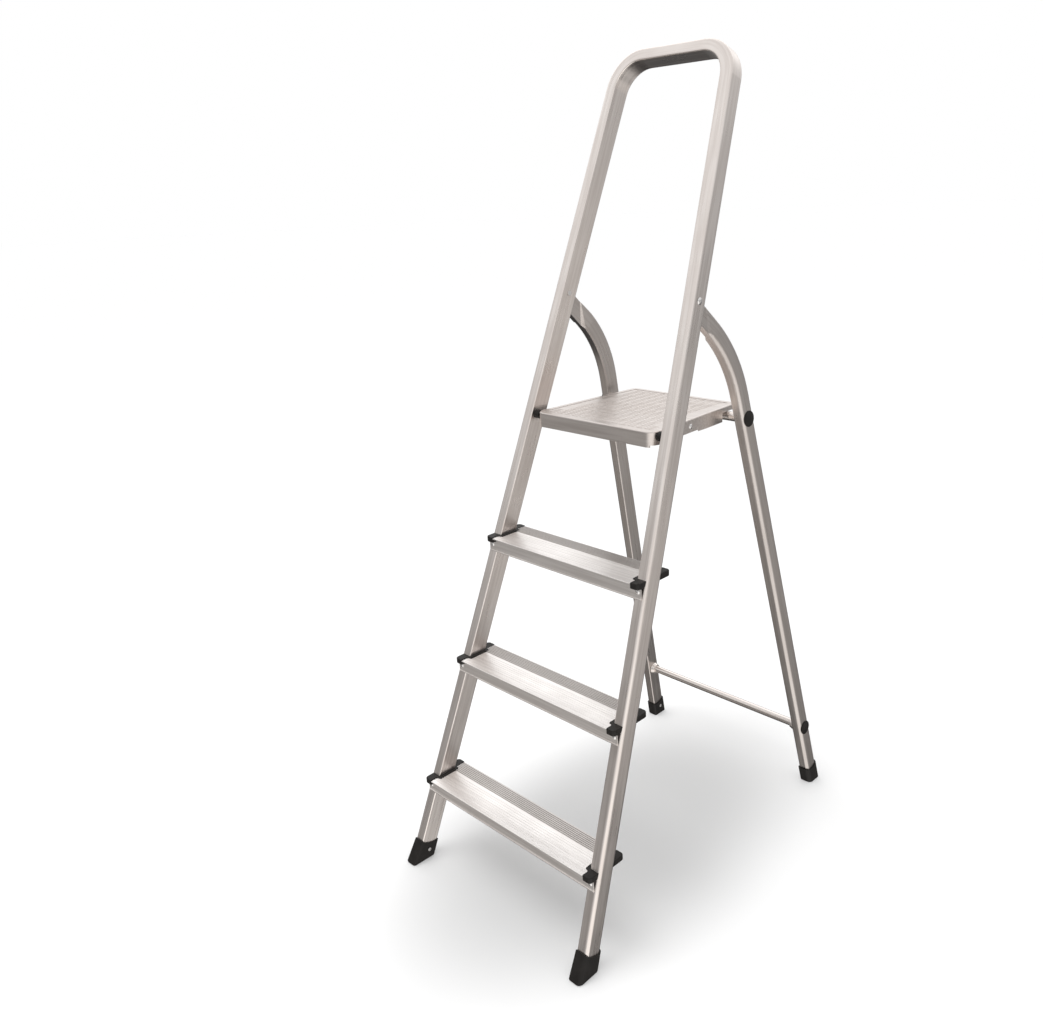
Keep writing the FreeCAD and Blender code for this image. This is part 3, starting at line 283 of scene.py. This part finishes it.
def leg_aluminium(name, **looks):
    """Lines that run up the legs and follow their long bend."""
    shader = new_material(name)
    x, y, z = tube_axes(shader, LEG_FOOT, -LEAN)
    spread = shader.maths("ADD", x, shader.maths("MULTIPLY", z, LEG_SPLAY))
    from_centre = shader.maths("ADD", y, LEG_BEND_RADIUS)
    depth = length_of(shader, from_centre, past(shader, z, LEG_BEND_Z))
    return drawn_aluminium(shader, (spread, depth, z), **looks)


def tread_aluminium(name, **looks):
    """Lines across the ladder, and a darker band of painted shade over the coarse ribs at the rear,
    standing in for the shade between them.
    """
    shader = new_material(name)
    x, y, z = shader.split(shader.place())
    stile_y = shader.maths("ADD", shader.maths("MULTIPLY", z, math.tan(TILT)), FRAME_FOOT.y)
    depth = shader.maths("SUBTRACT", y, stile_y)
    # Painted shade over the band of coarse ribs at the rear, standing in for the shade between them.
    painted_rib_shade = shader.remap(depth, RIB_BAND_START - RIB_BAND_EDGE, RIB_BAND_START + RIB_BAND_EDGE, 0.0, 1.0)
    return drawn_aluminium(shader, (y, z, x), painted_rib_shade=painted_rib_shade, **looks)


def crosswise_aluminium(name, **looks):
    """Lines that run across the ladder, from side to side."""
    shader = new_material(name)
    x, y, z = shader.split(shader.place())
    return drawn_aluminium(shader, (y, z, x), **looks)


def moulded_plastic(name, tone, roughness):
    """Black plastic with a fine grain, paler and duller where it is worn."""
    shader = new_material(name)
    grain = shader.noise(shader.place(), *PLASTIC_GRAIN)
    wear = shader.noise(shader.place(), *PLASTIC_WEAR)
    colour = shader.mix(shader.remap(wear, *WEAR_EDGES, 0.0, 1.0),
                        rgb(tone, PLASTIC_WARMTH), rgb(tone * WORN_TONE, PLASTIC_WARMTH))
    rough = roughness_by(shader, wear, roughness, PLASTIC_ROUGHNESS)
    normal = shader.bump(grain, PLASTIC_GRAIN_DEPTH)
    return shader.surface(Base_Color=colour, Roughness=rough, Normal=normal,
                          Specular_IOR_Level=PLASTIC_GLOSS)


def turned_metal(name, tone, roughness):
    """Smooth metal of the small fixings, with a faint grain."""
    shader = new_material(name)
    grain = shader.noise(shader.place(), *METAL_GRAIN)
    colour = shader.mix(shader.remap(grain, *METAL_EDGES, 0.0, 1.0),
                        rgb(tone * METAL_DARK_TONE, METAL_DARK_WARMTH), rgb(tone, METAL_WARMTH))
    rough = roughness_by(shader, grain, roughness, METAL_ROUGHNESS)
    normal = shader.bump(grain, METAL_GRAIN_DEPTH)
    return shader.surface(Base_Color=colour, Metallic=1.0, Roughness=rough, Normal=normal)


MATERIALS = {
    "frame_aluminium": frame_aluminium("frame_aluminium", tone=0.84),
    # Painted shade: the legs' tone is set lower than the frame's, darkening the same aluminium to stand in
    # for the darker surroundings that they reflect.
    "leg_aluminium": leg_aluminium("leg_aluminium", tone=0.58),
    "tread_aluminium": tread_aluminium("tread_aluminium", tone=0.90, roughness=0.36, warm=0.06),
    "platform_aluminium": crosswise_aluminium("platform_aluminium", tone=0.72, roughness=0.36, lines=0.6),
    "stiffener_aluminium": crosswise_aluminium("stiffener_aluminium", tone=0.66, roughness=0.38),
    "tube_aluminium": crosswise_aluminium("tube_aluminium", tone=0.80, roughness=0.20, lines=0.5),
    "rivet_aluminium": turned_metal("rivet_aluminium", tone=0.80, roughness=0.22),
    "screw_steel": turned_metal("screw_steel", tone=0.66, roughness=0.28),
    "trim_plastic": moulded_plastic("trim_plastic", tone=0.012, roughness=0.48),
    "foot_plastic": moulded_plastic("foot_plastic", tone=0.011, roughness=0.52),
    "cap_plastic": moulded_plastic("cap_plastic", tone=0.010, roughness=0.36),
    "spacer_plastic": moulded_plastic("spacer_plastic", tone=0.010, roughness=0.45),
}
for entry in frame["record"]["subparts"]:
    for slot in nodes[entry["node"]].material_slots:
        slot.material = MATERIALS[entry["material_slot"]]


def add_object(name, geometry, finish):
    """Adds an object made of the geometry, which is used up."""
    mesh = bpy.data.meshes.new(name)
    geometry.to_mesh(mesh)
    geometry.free()
    mesh.materials.append(finish)
    made = bpy.data.objects.new(name, mesh)
    scene.collection.objects.link(made)
    return made


# ---------------------------------------------------------------- pressed dashes on the platform
DASH_LENGTH = 14.0 * MM
DASH_WIDTH = 2.1 * MM
DASH_RISE = 0.65 * MM
DASH_PITCH_X = 18.0 * MM
DASH_PITCH_Y = 6.8 * MM
DASH_END_STEPS = 6
# A dash's outlines, from just inside the panel to its top: share of the rise, and share of the width
# that each side draws in.
DASH_OUTLINES = ((-0.2, 0.0), (0.55, 0.1225), (1.0, 0.35))
# The tray's panel lies this far below its rim, the rim is this wide, and each side of the tray comes in
# by the taper from front to back. The dashes keep clear of the rim.
TRAY_RECESS = 0.7 * MM
TRAY_RIM = 11.0 * MM
TRAY_TAPER = 16.5 * MM
DASH_CLEAR = 4.0 * MM


def raised_dash(geometry, centre):
    """Low rounded bar along X: a base outline, a narrower top outline and a sloping side."""
    rings = []
    for level, inset in DASH_OUTLINES:
        ring = []
        half_width = DASH_WIDTH * (0.5 - inset)
        for end in (1, -1):
            for step in range(DASH_END_STEPS + 1):
                turn = math.pi * (step / DASH_END_STEPS - 0.5)
                x = end * (DASH_LENGTH / 2 - DASH_WIDTH / 2 + half_width * math.cos(turn))
                y = end * half_width * math.sin(turn)
                ring.append(geometry.verts.new(centre + Vector((x, y, DASH_RISE * level))))
        rings.append(ring)
    count = len(rings[0])
    for lower, upper in zip(rings, rings[1:]):
        for index in range(count):
            after = (index + 1) % count
            geometry.faces.new((lower[index], lower[after], upper[after], upper[index]))
    geometry.faces.new(rings[-1])
    geometry.faces.new(list(reversed(rings[0])))


def make_platform_dashes():
    """Rows of short raised bars across the platform's recessed panel."""
    low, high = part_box("platform_tray")
    surface = high.z - TRAY_RECESS
    depth = high.y - low.y
    margin = TRAY_RIM + DASH_CLEAR
    rows = int((depth - 2 * margin) / DASH_PITCH_Y) + 1
    start_y = (low.y + high.y) / 2 - (rows - 1) * DASH_PITCH_Y / 2
    geometry = bmesh.new()
    for row in range(rows):
        y = start_y + row * DASH_PITCH_Y
        half = high.x - TRAY_TAPER * (y - low.y) / depth - margin
        count = int((half - DASH_LENGTH / 2) / DASH_PITCH_X)
        for column in range(-count, count + 1):
            raised_dash(geometry, Vector((column * DASH_PITCH_X, y, surface)))
    dashes = add_object("platform_dashes", geometry, MATERIALS["platform_aluminium"])
    for polygon in dashes.data.polygons:
        polygon.use_smooth = True
    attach(dashes, "platform")


make_platform_dashes()


# ---------------------------------------------------------------- floor and backdrop
FLOOR_RADIUS = 36.0
BACKDROP_RADIUS = 38.0
FLOOR_TONE = 0.68
FLOOR_GLOW = 0.32
# The painted shadow is a darker oval patch under the ladder, full within the first quarter of its size.
PAINTED_SHADOW_CENTRE_Y = -0.06
PAINTED_SHADOW_HALF_WIDTH = 0.41
PAINTED_SHADOW_HALF_DEPTH = 0.70
PAINTED_SHADOW_FULL = 0.25
PAINTED_SHADOW_TONE = 0.57
PAINTED_SHADOW_GLOW = 0.07


def make_floor():
    """Pale floor with a painted soft shadow under the ladder: darker and glowing less in an oval patch."""
    shader = new_material("studio_floor")
    x, y, _ = shader.split(shader.place())
    across = shader.maths("DIVIDE", x, PAINTED_SHADOW_HALF_WIDTH)
    back = shader.maths("DIVIDE", shader.maths("SUBTRACT", y, PAINTED_SHADOW_CENTRE_Y), PAINTED_SHADOW_HALF_DEPTH)
    # Share of the painted shadow: 1 within its middle, 0 outside the oval.
    patch = shader.remap(length_of(shader, across, back), PAINTED_SHADOW_FULL, 1.0, 1.0, 0.0, easing="SMOOTHERSTEP")
    colour = shader.mix(patch, rgb(FLOOR_TONE), rgb(PAINTED_SHADOW_TONE))
    # The painted shadow also glows less than the rest of the floor.
    glow = shader.remap(patch, 0.0, 1.0, FLOOR_GLOW, PAINTED_SHADOW_GLOW)
    finish = shader.surface(Base_Color=colour, Roughness=1.0, Specular_IOR_Level=0.0,
                            Emission_Color=WHITE, Emission_Strength=glow)
    geometry = bmesh.new()
    bmesh.ops.create_circle(geometry, cap_ends=True, segments=96, radius=FLOOR_RADIUS)
    floor = add_object("studio_floor", geometry, finish)
    floor.visible_glossy = False


def make_backdrop():
    """White dome far behind everything, seen by the camera alone."""
    shader = new_material("studio_backdrop")
    shader.close(shader.node("ShaderNodeEmission", inputs={"Color": WHITE, "Strength": 1.0}))
    geometry = bmesh.new()
    bmesh.ops.create_icosphere(geometry, subdivisions=4, radius=BACKDROP_RADIUS)
    dome = add_object("studio_backdrop", geometry, shader.owner)
    dome.visible_glossy = False
    dome.visible_diffuse = False
    dome.visible_shadow = False
    dome.visible_transmission = False


# ---------------------------------------------------------------- light
# The room and its white wall, as stops of height and brightness.
ROOM = ((-1.0, 0.03), (-0.65, 0.06), (-0.5, 0.15), (-0.3, 0.26), (-0.1, 0.34),
        (0.06, 0.44), (0.19, 0.66), (0.35, 0.88), (0.6, 0.92), (1.0, 0.95))
WALL = ((-1.0, 0.03), (-0.6, 0.115), (-0.3, 0.14), (0.0, 0.45), (0.25, 0.96),
        (0.45, 1.45), (0.7, 1.5), (1.0, 1.1))
# A patch of the room is the way towards its middle, and the cosines from there where it starts and is full.
WALL_PATCH = ((-0.70, 0.68, 0.30), 0.45, 0.85)
# These patches have one colour each, and a later one lies over an earlier one: a pale one low behind on
# the right, a grey one low in front on the left, a dark one in front, and a large light below the camera.
PATCHES = (
    (((0.75, 0.60, -0.28), 0.945, 0.985), (0.66, 0.64, 0.62, 1.0)),
    (((-0.66, -0.53, -0.50), 0.92, 0.985), (0.42, 0.40, 0.38, 1.0)),
    (((-0.52, -0.85, 0.05), 0.962, 0.995), (0.25, 0.24, 0.23, 1.0)),
    (((0.55, -0.46, -0.62), 0.46, 0.76), (1.25, 1.23, 1.20, 1.0)),
)
KEY_PLACE = Vector((-0.6, -0.9, 2.9))
KEY_TARGET = Vector((0.0, 0.1, 0.4))


def patch_share(shader, way, patch):
    """How much of a patch there is in each way that one can look, from 0 to 1."""
    middle, start, full = patch
    facing = shader.node("ShaderNodeVectorMath", {"operation": "DOT_PRODUCT"},
                         {0: way, 1: Vector(middle).normalized()}, output="Value")
    return shader.remap(facing, start, full, 0.0, 1.0, easing="SMOOTHSTEP")


def make_world():
    """Soft studio: brighter overhead, a white wall behind and a large light below the camera."""
    scene.world = bpy.data.worlds.new("studio")
    shader = Shader(scene.world)
    way = shader.node("ShaderNodeTexCoord", output="Generated")
    height = shader.split(way)[2]
    room = shader.ramp(height, ROOM)
    light = shader.mix(patch_share(shader, way, WALL_PATCH), room, shader.ramp(height, WALL))
    for patch, colour in PATCHES:
        light = shader.mix(patch_share(shader, way, patch), light, colour)
    background = shader.node("ShaderNodeBackground", inputs={"Color": light, "Strength": 1.0})
    shader.close(background, kind="ShaderNodeOutputWorld")


def make_key_light():
    """Large soft light above and to the left; it shapes the black plastic and the soft shadows."""
    data = bpy.data.lights.new("key", "AREA")
    data.shape = "DISK"
    data.size = 1.6
    data.energy = 26.0
    light = bpy.data.objects.new("key", data)
    light.visible_glossy = False
    light.location = KEY_PLACE
    light.rotation_euler = (KEY_TARGET - KEY_PLACE).to_track_quat("-Z", "Y").to_euler()
    scene.collection.objects.link(light)


# ---------------------------------------------------------------- camera
CAMERA_PLACE = Vector((1.06447, -1.20130, 1.20281))
CAMERA_WAY = Vector((-0.67286, 0.66548, -0.32309)).normalized()
CAMERA_ROLL = math.radians(-2.624)


def make_camera():
    """Camera in front of the ladder and to its right, between the platform and the handle in height."""
    data = bpy.data.cameras.new("camera")
    data.sensor_width = 36.0
    data.lens = 32.93
    data.shift_x = -0.0349
    data.shift_y = -0.0031
    data.clip_end = 200.0
    right = CAMERA_WAY.cross(Vector((0, 0, 1))).normalized()
    up = right.cross(CAMERA_WAY)
    axes = Matrix((right * math.cos(CAMERA_ROLL) + up * math.sin(CAMERA_ROLL),
                   up * math.cos(CAMERA_ROLL) - right * math.sin(CAMERA_ROLL),
                   -CAMERA_WAY)).transposed()
    camera = bpy.data.objects.new("camera", data)
    camera.matrix_world = Matrix.Translation(CAMERA_PLACE) @ axes.to_4x4()
    scene.collection.objects.link(camera)
    scene.camera = camera


make_floor()
make_backdrop()
make_world()
make_key_light()
make_camera()
scene.view_settings.view_transform = "Standard"
